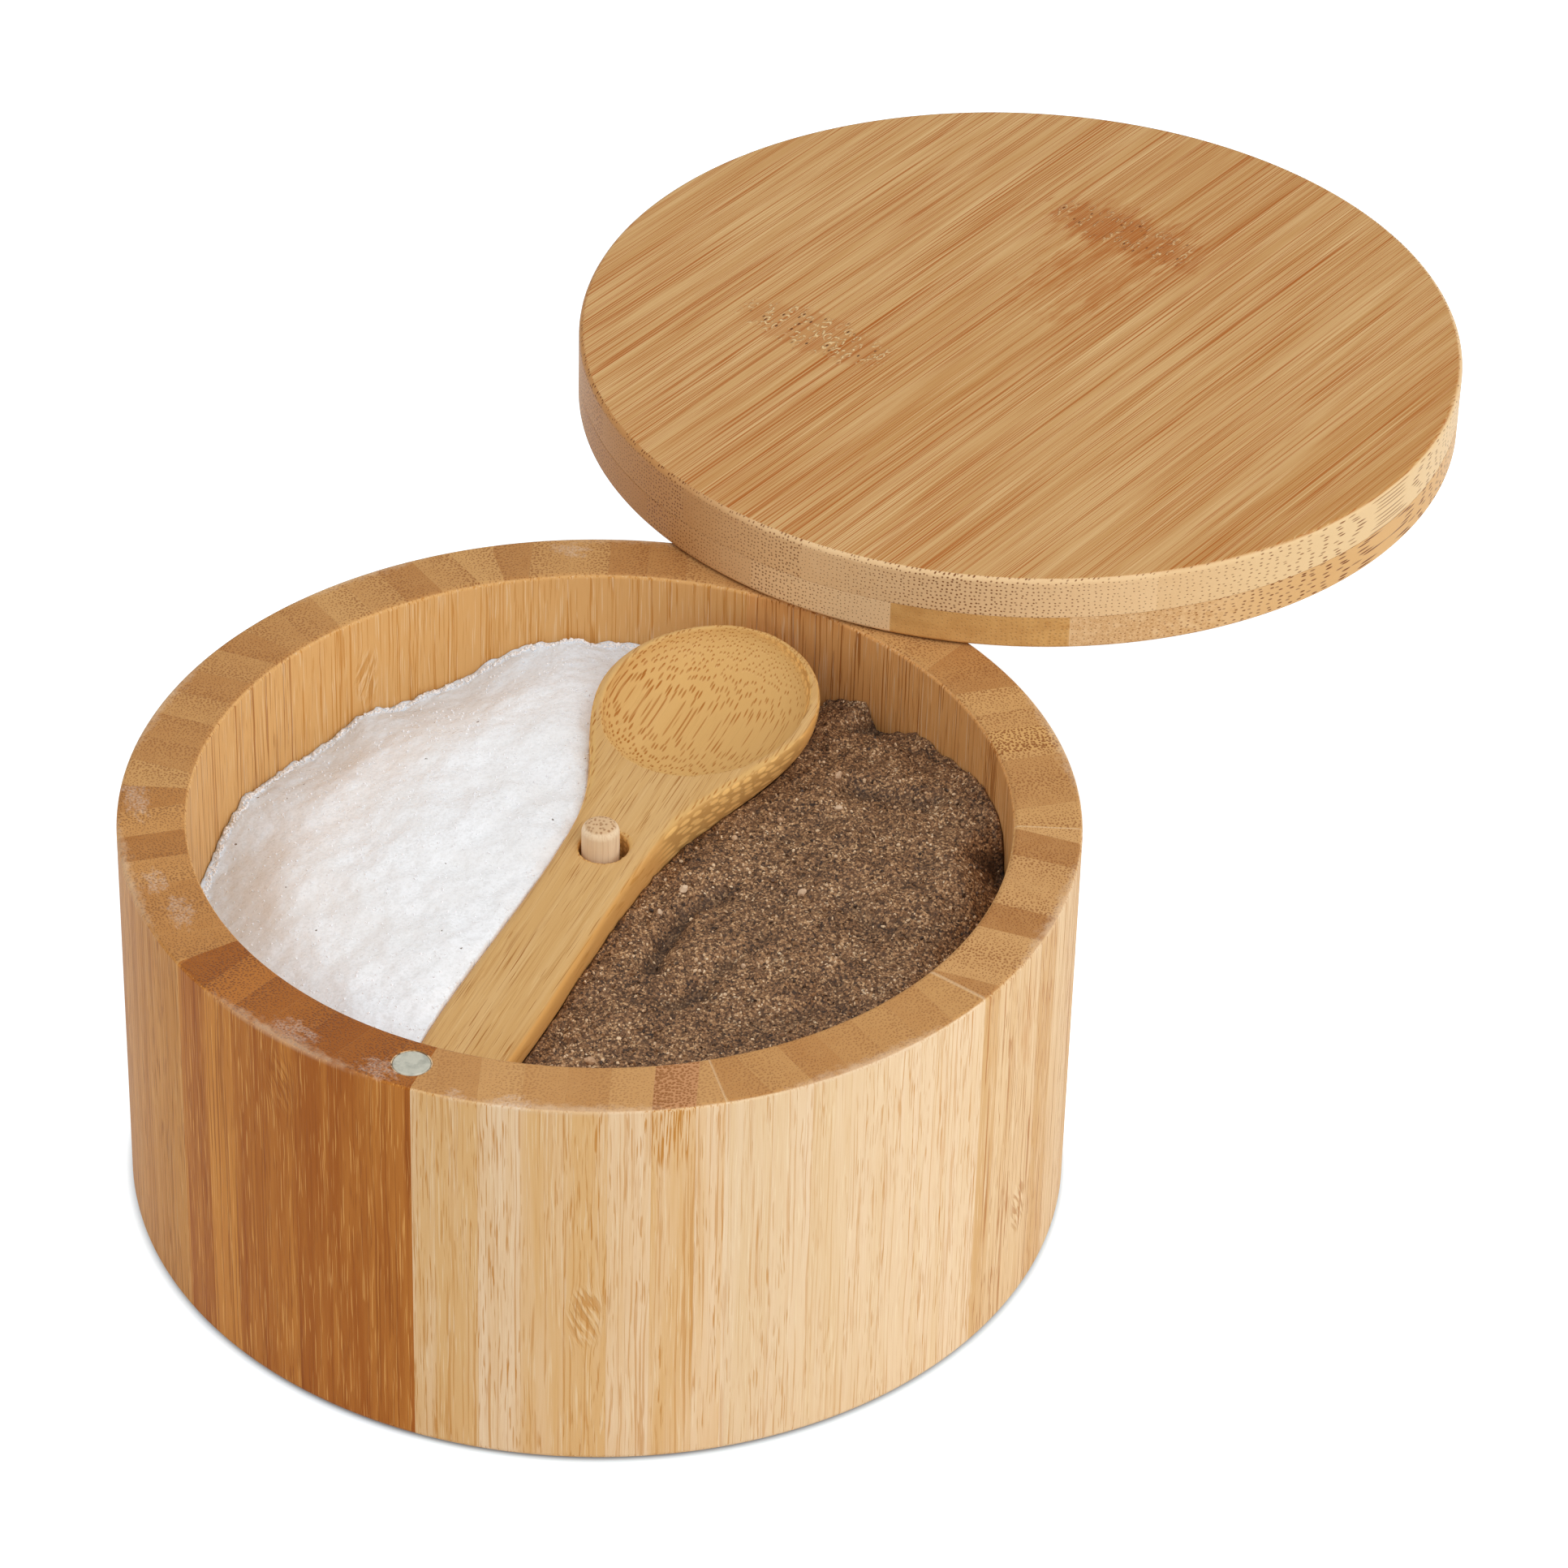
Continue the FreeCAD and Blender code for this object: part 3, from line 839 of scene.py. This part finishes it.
def cutStrips(ply, stagger):  # splits a disc into strips side by side along X
    width = 2 * lid["radius"] / lid["stripsAcross"]
    joints = [width * (i - stagger) - lid["radius"] for i in range(1, lid["stripsAcross"] + 1)]
    joints = [None] + [place for place in joints if place < lid["radius"] - lid["leastStrip"]] + [None]
    strips = []
    for low, high in zip(joints, joints[1:]):
        strip = link(ply.copy())
        strip.data = ply.data.copy()
        choose(strip)
        editMode()
        for place, keepAbove in ((low, True), (high, False)):
            if place is None:  # an outer strip ends at the disc's edge
                continue
            bpy.ops.mesh.select_all(action="SELECT")
            bpy.ops.mesh.bisect(
                plane_co=(place * mm, 0, 0),
                plane_no=(1, 0, 0),
                use_fill=True,
                clear_inner=keepAbove,
                clear_outer=not keepAbove,
                threshold=1e-7,
            )
        objectMode()
        strips.append(strip)
    remove(ply)
    return strips


def makeLid():
    low = body["height"] + lid["gap"]
    seam = low + lid["lower"]
    top = seam + lid["upper"]
    upper = rod(lid["radius"], seam, top, steps=lid["steps"])
    roundRing(top, lid["topRound"], 5)
    roundRing(seam, lid["seamRound"], 2)
    lower = rod(lid["radius"], low, seam, steps=lid["steps"])
    roundRing(low, lid["bottomRound"], 4)
    roundRing(seam, lid["seamRound"], 2)
    rim = body["rimCircle"]
    pocket = rod(body["magnetPocket"], low - overrun, low + magnet["thickness"], (0, -rim))
    bore = rod(lid["bore"], low - overrun, seam + overrun, (0, rim), 32)
    headHole = rod(lid["headHole"], seam - lid["headDrop"], seam + overrun, (0, rim), 32)
    pale = bamboo("lid_upper_bamboo", {**lidLook, **upperLook, "middle": seam})
    plain = bamboo("lid_lower_bamboo", {**lidLook, **lowerLook, "middle": low})
    golden = bamboo("lid_golden_bamboo", {**lidLook, **goldenLook, "middle": low})
    plies = (
        ("lid_upper_strip_%d", cutStrips(upper, lid["stagger"]), pale, []),
        ("lid_lower_strip_%d", cutStrips(lower, 0), plain, [pocket, bore, headHole]),
    )
    for title, strips, look, cutters in plies:
        for number, strip in enumerate(strips, 1):
            name = title % number
            cutAway(strip, cutters if number in (3, 4) else [])  # the two middle strips have the bores
            smooth(strip)
            strip.matrix_world = swing()
            applyPlace(strip)
            finish = golden if name == lid["goldenStrip"] else look
            finishPiece(strip, name + "_wood", "lid", [name], finish)
    remove(pocket, bore, headHole)


makeLid()
print("Lid cut into strips")


# Spoon

spoon = {"voxel": 0.3, "relax": 3, "weld": 0.001}
spoonLook = {
    "upright": False, "turn": 90, "middle": 43, "seed": 51, "stripWidth": 40, "stripShift": 20,
    "tones": ((219, 182, 128), (207, 164, 105)),
    "innerDepth": (-40, -50),
    "streak": (158, 102, 46), "bright": (240, 208, 152), "fine": 0.25,
    "lines": 0.2,
    "dashes": 0.7, "dashScale": 5.5, "dashLength": 17, "dashFrom": (0.62, 0.66), "dashRelief": 0.1,
    "brightLines": 0.2,
    "wander": 0.3, "wanderLength": 24, "throughScale": 0.3, "tilt": -0.08,
    "endTones": ((226, 186, 122), (216, 173, 108)), "endFrom": (0.06, 0.2), "dot": (172, 108, 44),
    "core": (236, 198, 134),
    "dotGap": 0.54, "dotSize": 0.22, "dotRandom": 0.75, "dotAmount": 0.85, "coreAmount": 0.6,
    "comb": 0.5, "combGap": 0.9, "hollow": (-0.3, 33.3, 13.6, 16.3), "flank": (250, 200, 122),
    # the flank's side tone is partly the wood's colour and partly painted light on a shaded flank
    "flankSideAndLight": (240, 176, 92),
    "rough": 0.42, "bump": 0.03,
}


def makeSpoon():
    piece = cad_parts["spoon"].copy()
    piece.data = piece.data.copy()
    piece.parent = None
    for key in list(piece.keys()):  # the copy sheds the marks of the CAD node
        del piece[key]
    choose(link(piece))
    editMode()
    bpy.ops.mesh.remove_doubles(threshold=spoon["weld"] * mm)
    objectMode()
    remesh = piece.modifiers.new("voxels", "REMESH")
    remesh.mode = "VOXEL"
    remesh.voxel_size = spoon["voxel"] * mm
    relax = piece.modifiers.new("relax", "SMOOTH")
    relax.factor = 0.5
    relax.iterations = spoon["relax"]
    applyModifiers(piece)
    bpy.ops.object.shade_smooth()
    wood = bamboo("spoon_bamboo", spoonLook)
    return finishPiece(piece, "spoon_carved", "spoon", ["spoon"], wood)


spoonPiece = makeSpoon()
print("Spoon carved")


# Salt and pepper

heap = {
    "inner": 53.35,
    "divider": 4.35,
    "across": 180,
    "along": 330,
    "reach": 56,
    "sampleGap": 1.0,
    "wallGap": 0.3,
    "grainGap": 0.4,
    "aroundSpoon": 1.2,
    "underSpoon": 0.3,
    "castFrom": 90,
    "castUpFrom": 10,
    "floorGap": 0.05,
    "carryTurns": 500,
    "calmTurns": 60,
    "hollowShadeDepth": 0.9,
    "shakeLimit": 0.3,
    "crumbBand": 2.5,
}
# Heights of the two heaps where they meet the wall, by angle round the wall
saltWall = ((100, 44.5), (110, 45.4), (119, 46.2), (127, 45.0), (135, 42.1), (144, 40.8), (153, 40.7),
            (162, 38.8), (177, 41.1), (184, 39.4), (191, 37.7), (205, 38.5), (225, 41), (250, 44), (262, 45))
pepperWall = ((-82, 42), (-60, 43), (-40, 43.5), (-20, 42), (0, 40.5), (15, 41), (28.7, 42.3), (31, 47.1),
              (37.5, 48.4), (44, 48.3), (52.6, 46.6), (60.8, 45.3), (68.5, 42.0), (71, 46.3), (78, 43.5),
              (79.6, 39.5), (84, 39))
saltGrain = {
    "waves": ((13, 0.9), (5, 0.55), (2.0, 0.20), (0.8, 0.08)),  # size and depth of each
    "edgeWaves": ((2.4, 0.7), (0.9, 0.45)),
    "jitter": 0, "wallReach": 14, "seed": 5,
}
pepperGrain = {
    "waves": ((11, 0.9), (4, 0.55), (1.8, 0.34), (0.9, 0.22)),
    "edgeWaves": ((1.8, 0.5), (0.7, 0.3)),
    "jitter": 0.07, "wallReach": 9, "seed": 11,
}
# Soft dents in the pepper: two ends, width and depth; the last one is a small mound
pepperDents = (
    ((16.6, 4.3), (13.4, -2.4), 1.5, 1.0),
    ((13.4, -2.4), (12.7, -8.2), 1.5, 1.7),
    ((12.7, -8.2), (13.5, -14.4), 1.5, 2.0),
    ((24.6, -4.7), (22.1, -10.0), 1.4, 0.9),
    ((22.1, -10.0), (20.6, -16.1), 1.4, 1.5),
    ((20.6, -16.1), (18.6, -20.1), 1.5, 2.2),
    ((31.0, 7.8), (36.5, 4.3), 2.4, 0.8),
    ((24.0, 30.0), (34.0, 31.5), 2.2, 1.6),
    ((30.0, -20.0), (38.0, -12.0), 2.5, 0.9),
    ((43.5, 23.0), (48.5, 15.0), 4.5, -2.2),
)
# Loose grains on top: how many, from and to which size, how flat, how far they stand above the
# bed as a share of their size, and in some how near the wall they lie
saltLoose = {"count": 1400, "sizes": (0.20, 0.40), "flat": 0.8, "lift": 0.2, "seed": 71}
saltEdge = {"count": 1900, "sizes": (0.26, 0.60), "flat": 0.85, "lift": 0.15, "band": 1.2, "seed": 72}
pepperLoose = {"count": 3600, "sizes": (0.30, 0.75), "flat": 0.5, "lift": 0.1, "seed": 73}
pepperPale = {
    "places": ((20.8, 31.6), (23.8, 24.3), (13.3, 13.7), (11.3, 1.2), (10.2, -4.1), (26.1, 5.7),
               (24.5, -10.3), (13.8, -34.9), (17.3, 19.6)),
    "sizes": (1.0, 1.5), "flat": 0.7, "lift": 0.15, "seed": 74,
}
# Tones of the grains, each with its place between 0 and 1
pepperTones = (
    (0.0, (46, 28, 15)), (0.25, (98, 66, 39)), (0.50, (136, 97, 63)),
    (0.75, (172, 129, 88)), (0.92, (214, 172, 126)), (1.0, (240, 212, 176)),
)
flakeTones = ((0.0, (52, 34, 22)), (0.35, (110, 76, 48)), (0.7, (172, 130, 92)), (1.0, (236, 206, 168)))
paleTones = ((0.0, (196, 158, 122)), (1.0, (226, 200, 170)))
crystalTones = ((0.0, (254, 254, 255)), (1.0, (236, 236, 238)))


def meshTree(mesh):  # for finding where a ray meets the mesh
    return BVHTree.FromPolygons([v.co for v in mesh.vertices], [p.vertices for p in mesh.polygons])


def heightUnder(tree, x, y):
    spot = tree.ray_cast(Vector((x * mm, y * mm, heap["castFrom"] * mm)), Vector((0, 0, -1)))[0]
    return None if spot is None else spot.z / mm


def settledLevels(node, side, spoonTree):  # heights of the CAD heap, carried on smoothly under the spoon
    tree = meshTree(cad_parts[node].data)
    size, reach, wide = heap["sampleGap"], heap["reach"], heap["aroundSpoon"]
    places = np.arange(-reach, reach + size, size)
    levels = np.full((len(places), len(places)), np.nan)
    for i, x in enumerate(places):
        for j, y in enumerate(places):
            if x * side < heap["divider"] or math.hypot(x, y) > heap["inner"] - heap["wallGap"]:
                continue
            near = [(x + dx, y + dy) for dx in (-wide, 0, wide) for dy in (-wide, 0, wide)]
            if any(heightUnder(spoonTree, px, py) is not None for px, py in near):
                continue
            found = heightUnder(tree, x, y)
            if found is not None:
                levels[i, j] = found
    known = ~np.isnan(levels)
    levels[~known] = levels[known].mean()
    for _ in range(heap["carryTurns"]):
        around = sum(np.roll(levels, step, axis) for axis in (0, 1) for step in (1, -1)) / 4
        levels[~known] = around[~known]
    return places, levels


def levelAt(places, levels, x, y):
    size = heap["sampleGap"]
    i, j = (x - places[0]) / size, (y - places[0]) / size
    a, b = int(i), int(j)
    p, q = i - a, j - b
    low = levels[a, b] * (1 - q) + levels[a, b + 1] * q
    high = levels[a + 1, b] * (1 - q) + levels[a + 1, b + 1] * q
    return low * (1 - p) + high * p


def waveHeight(x, y, waves, seed):
    total = 0
    for size, depth in waves:
        total += depth * noise.noise(Vector((x / size + seed, y / size - seed, seed * 1.7)))
    return total


def looseGrains(name, heapPiece, side, plan, steps, spoonTree):  # one mesh of many small stones
    clearSelection()
    bpy.ops.mesh.primitive_ico_sphere_add(subdivisions=steps, radius=0.5)
    stone = bpy.context.object
    shape = np.array([v.co for v in stone.data.vertices])
    faces = np.array([p.vertices for p in stone.data.polygons])
    remove(stone)
    tree = meshTree(heapPiece.data)
    chance = np.random.default_rng(plan["seed"])
    points, corners, tones = [], [], []
    places = list(plan.get("places", ()))
    while len(places) < plan.get("count", 0):
        x, y = chance.uniform(-heap["inner"], heap["inner"], 2)
        radius = math.hypot(x, y)
        nearWall = radius > heap["inner"] - plan.get("band", heap["inner"])
        if x * side > heap["divider"] and radius < heap["inner"] - heap["grainGap"] and nearWall:
            places.append((x, y))
    for x, y in places:
        level = heightUnder(tree, x, y)
        size = plan["sizes"][0] + (plan["sizes"][1] - plan["sizes"][0]) * chance.random() ** 2
        turn = Euler(chance.uniform(0, 6.28, 3)).to_matrix()
        knock = 1 + chance.uniform(-0.22, 0.22, (len(shape), 3))
        tone = chance.random()
        if level is None or heightUnder(spoonTree, x, y) is not None:
            continue
        spot = np.array((x, y, level + size * plan["lift"]))
        stretch = size * np.array((1, chance.uniform(0.6, 1), plan["flat"]))
        corners.append(faces + len(points) * len(shape))
        points.append(((shape * knock * stretch) @ np.array(turn).T + spot) * mm)
        tones.append(np.full(len(shape), tone))
    made = bpy.data.meshes.new(name)
    made.from_pydata(np.concatenate(points).tolist(), [], np.concatenate(corners).tolist())
    toneLayer = made.attributes.new("grainTone", "FLOAT", "POINT")
    toneLayer.data.foreach_set("value", np.concatenate(tones))
    return link(bpy.data.objects.new(name, made))


def dentAt(x, y, dents):
    deepest = 0
    for start, stop, wide, depth in dents:
        a, b, p = Vector(start), Vector(stop), Vector((x, y))
        share = min(max((p - a).dot(b - a) / (b - a).length_squared, 0), 1)
        gone = (p - a.lerp(b, share)).length / wide
        here = depth * math.exp(-gone * gone)
        deepest = here if abs(here) > abs(deepest) else deepest
    return deepest


def pouredHeight(x, y, z, shake, side, wall, grain, dents):  # the level with its wall, waves and crumbs
    radius = math.hypot(x, y)
    angle = math.degrees(math.atan2(y, x))
    if side < 0 and angle < 0:
        angle += 360
    closeness = min(max((radius - heap["inner"]) / grain["wallReach"] + 1, 0), 1)
    closeness = closeness * closeness * (3 - 2 * closeness)
    z += (np.interp(angle, *zip(*wall)) - z) * closeness
    z += waveHeight(x, y, grain["waves"], grain["seed"]) - dentAt(x, y, dents) + shake
    crumbs = min(max((radius - heap["inner"] + heap["crumbBand"]) / heap["crumbBand"], 0), 1)
    return z + waveHeight(x, y, grain["edgeWaves"], grain["seed"] + 3) * crumbs


def markHollowShade(piece, level):  # how far each spot lies below what is round it, for the painted shade in the pepper's hollows
    calm = level.copy()
    for _ in range(heap["calmTurns"]):
        held = np.pad(calm, 1, mode="edge")
        calm = (held[:-2, 1:-1] + held[2:, 1:-1] + held[1:-1, :-2] + held[1:-1, 2:]) / 4
    sunk = piece.data.attributes.new("sunk", "FLOAT", "POINT")
    sunk.data.foreach_set("value", np.clip((calm - level) / heap["hollowShadeDepth"], 0, 1).reshape(-1))


def closeHeap(piece):  # gives the poured face its sides and a flat bottom
    editMode()
    pick("EDGE", lambda e: e.is_boundary)
    bpy.ops.mesh.extrude_region_move(TRANSFORM_OT_translate={"value": (0, 0, -body["floorTop"] * mm)})
    mesh = bmesh.from_edit_mesh(piece.data)
    for vertex in mesh.verts:
        if vertex.select:
            vertex.co.z = (body["floorTop"] + heap["floorGap"]) * mm
    bmesh.update_edit_mesh(piece.data)
    bpy.ops.mesh.edge_face_add()
    bpy.ops.mesh.select_all(action="SELECT")
    bpy.ops.mesh.normals_make_consistent(inside=False)
    objectMode()
    bpy.ops.object.shade_smooth()


def makeHeap(node, side, wall, grain, dents, spoonTree):
    places, levels = settledLevels(node, side, spoonTree)
    clearSelection()
    bpy.ops.mesh.primitive_grid_add(x_subdivisions=heap["across"], y_subdivisions=heap["along"], size=2)
    piece = bpy.context.object
    count = len(piece.data.vertices)
    points = np.zeros(count * 3)
    piece.data.vertices.foreach_get("co", points)
    points = points.reshape(-1, 3)
    inner, divider = heap["inner"], heap["divider"]
    widest = math.asin(math.sqrt(inner ** 2 - divider ** 2) / inner) * 0.999  # just short of the corners
    chance = np.random.default_rng(grain["seed"])
    shake = chance.normal(0, grain["jitter"], count)
    for k in range(count):
        y = inner * math.sin(points[k, 1] * widest)
        far = math.sqrt(inner ** 2 - y * y)
        share = (points[k, 0] + 1) / 2
        x = side * (divider + (far - divider) * share)
        shaken = min(max(shake[k], -heap["shakeLimit"]), heap["shakeLimit"])
        z = pouredHeight(x, y, levelAt(places, levels, x, y), shaken, side, wall, grain, dents)
        below = Vector((x * mm, y * mm, heap["castUpFrom"] * mm))
        over = spoonTree.ray_cast(below, Vector((0, 0, 1)))[0]
        if over is not None:
            z = min(z, over.z / mm - heap["underSpoon"])
        points[k] = (x * mm, y * mm, z * mm)
    piece.data.vertices.foreach_set("co", points.reshape(-1))
    piece.data.update()
    markHollowShade(piece, points[:, 2].reshape(heap["along"] + 1, heap["across"] + 1) / mm)
    closeHeap(piece)
    return piece


def saltFinish(name):
    f = Finish(name)
    spot = f.place()
    red, green, blue = f.parts(f.cells(*spot, 1, 1, scale=3.2))
    gap = f.cells(*spot, 1, scale=3.2)
    cloud = f.noise(*spot, 2, scale=0.12)
    grain = f.noise(*spot, 2, scale=1.3)
    fromAxis = (spot[0] * spot[0] + spot[1] * spot[1]) ** 0.5
    shade = f.mix(f.ease(red, 0.4, 1.0) * 0.5, (247, 248, 250), (226, 226, 226))
    shade = f.mix(f.ease(grain, 0.45, 0.75) * 0.4, shade, (232, 231, 230))
    shade = f.mix(f.ease(cloud, 0.4, 0.7) * 0.4, shade, (238, 236, 234))
    shade = f.mix(f.ease(fromAxis, 36, 53), shade, (237, 246, 255), "MULTIPLY")  # painted: cooler and a touch darker towards the wall, offsetting the warm light the wooden wall throws on the salt
    shade = f.mix(blue > 0.9998, shade, (130, 120, 112))
    rough = (green > 0.93) * -0.45 + 0.6
    dent = f.dent((1 - gap) * 0.6 + grain * 0.6, 0.5, 0.07)
    return f.surface({"Base Color": shade, "Roughness": rough, "Normal": dent})


def pepperFinish(name):
    f = Finish(name)
    spot = f.place()
    red, green = f.parts(f.cells(*spot, 1, 1, scale=3.6))[:2]
    gap = f.cells(*spot, 1, scale=3.6)
    chunk = f.parts(f.cells(*spot, 1, 1, scale=1.7))[0]
    cloud = f.noise(*spot, 3, scale=0.15)
    sunk = f.node("ShaderNodeAttribute", {"attribute_name": "sunk"}, None, "Fac")
    share = red * 0.8 + chunk * 0.2 + (cloud - 0.5) * -0.6
    shade = f.node("ShaderNodeValToRGB", {"stops": pepperTones}, {0: share})
    # painted shade: darker along the edges between the grains
    shade = f.mix(f.ease(gap, 0.45, 0.8) * 0.5, shade, (44, 28, 17))
    # painted shade: the pepper is darker where it lies in a hollow
    shade = f.mix(sunk * 0.6, shade, (48, 31, 20))
    dent = f.dent((1 - gap) + chunk * 0.5, 0.8, 0.13)
    return f.surface({"Base Color": shade, "Roughness": green * 0.3 + 0.55, "Normal": dent})


def grainFinish(name, stops, rough):  # each loose grain has one tone
    f = Finish(name)
    tone = f.node("ShaderNodeAttribute", {"attribute_name": "grainTone"}, None, "Fac")
    shade = f.node("ShaderNodeValToRGB", {"stops": stops}, {0: tone})
    return f.surface({"Base Color": shade, "Roughness": tone * 0.3 + rough})


def makeContents():
    spoonTree = meshTree(spoonPiece.data)
    salt = makeHeap("salt", -1, saltWall, saltGrain, (), spoonTree)
    finishPiece(salt, "salt_heap", "canister", ["salt"], saltFinish("salt_bed"))
    pepper = makeHeap("pepper", 1, pepperWall, pepperGrain, pepperDents, spoonTree)
    finishPiece(pepper, "pepper_heap", "canister", ["pepper"], pepperFinish("pepper_bed"))
    crystal = grainFinish("salt_crystal", crystalTones, 0.35)
    flake = grainFinish("pepper_flake", flakeTones, 0.4)
    pale = grainFinish("pepper_pale", paleTones, 0.4)
    loose = (
        ("salt_loose", salt, -1, saltLoose, 1, "salt", crystal),
        ("salt_edge_crystals", salt, -1, saltEdge, 1, "salt", crystal),
        ("pepper_flakes", pepper, 1, pepperLoose, 1, "pepper", flake),
        ("pepper_pale_grains", pepper, 1, pepperPale, 2, "pepper", pale),
    )
    for name, bed, side, plan, steps, slot, finish in loose:
        grains = looseGrains(name, bed, side, plan, steps, spoonTree)
        finishPiece(grains, name, "canister", [], finish)


makeContents()
print("Salt and pepper poured")
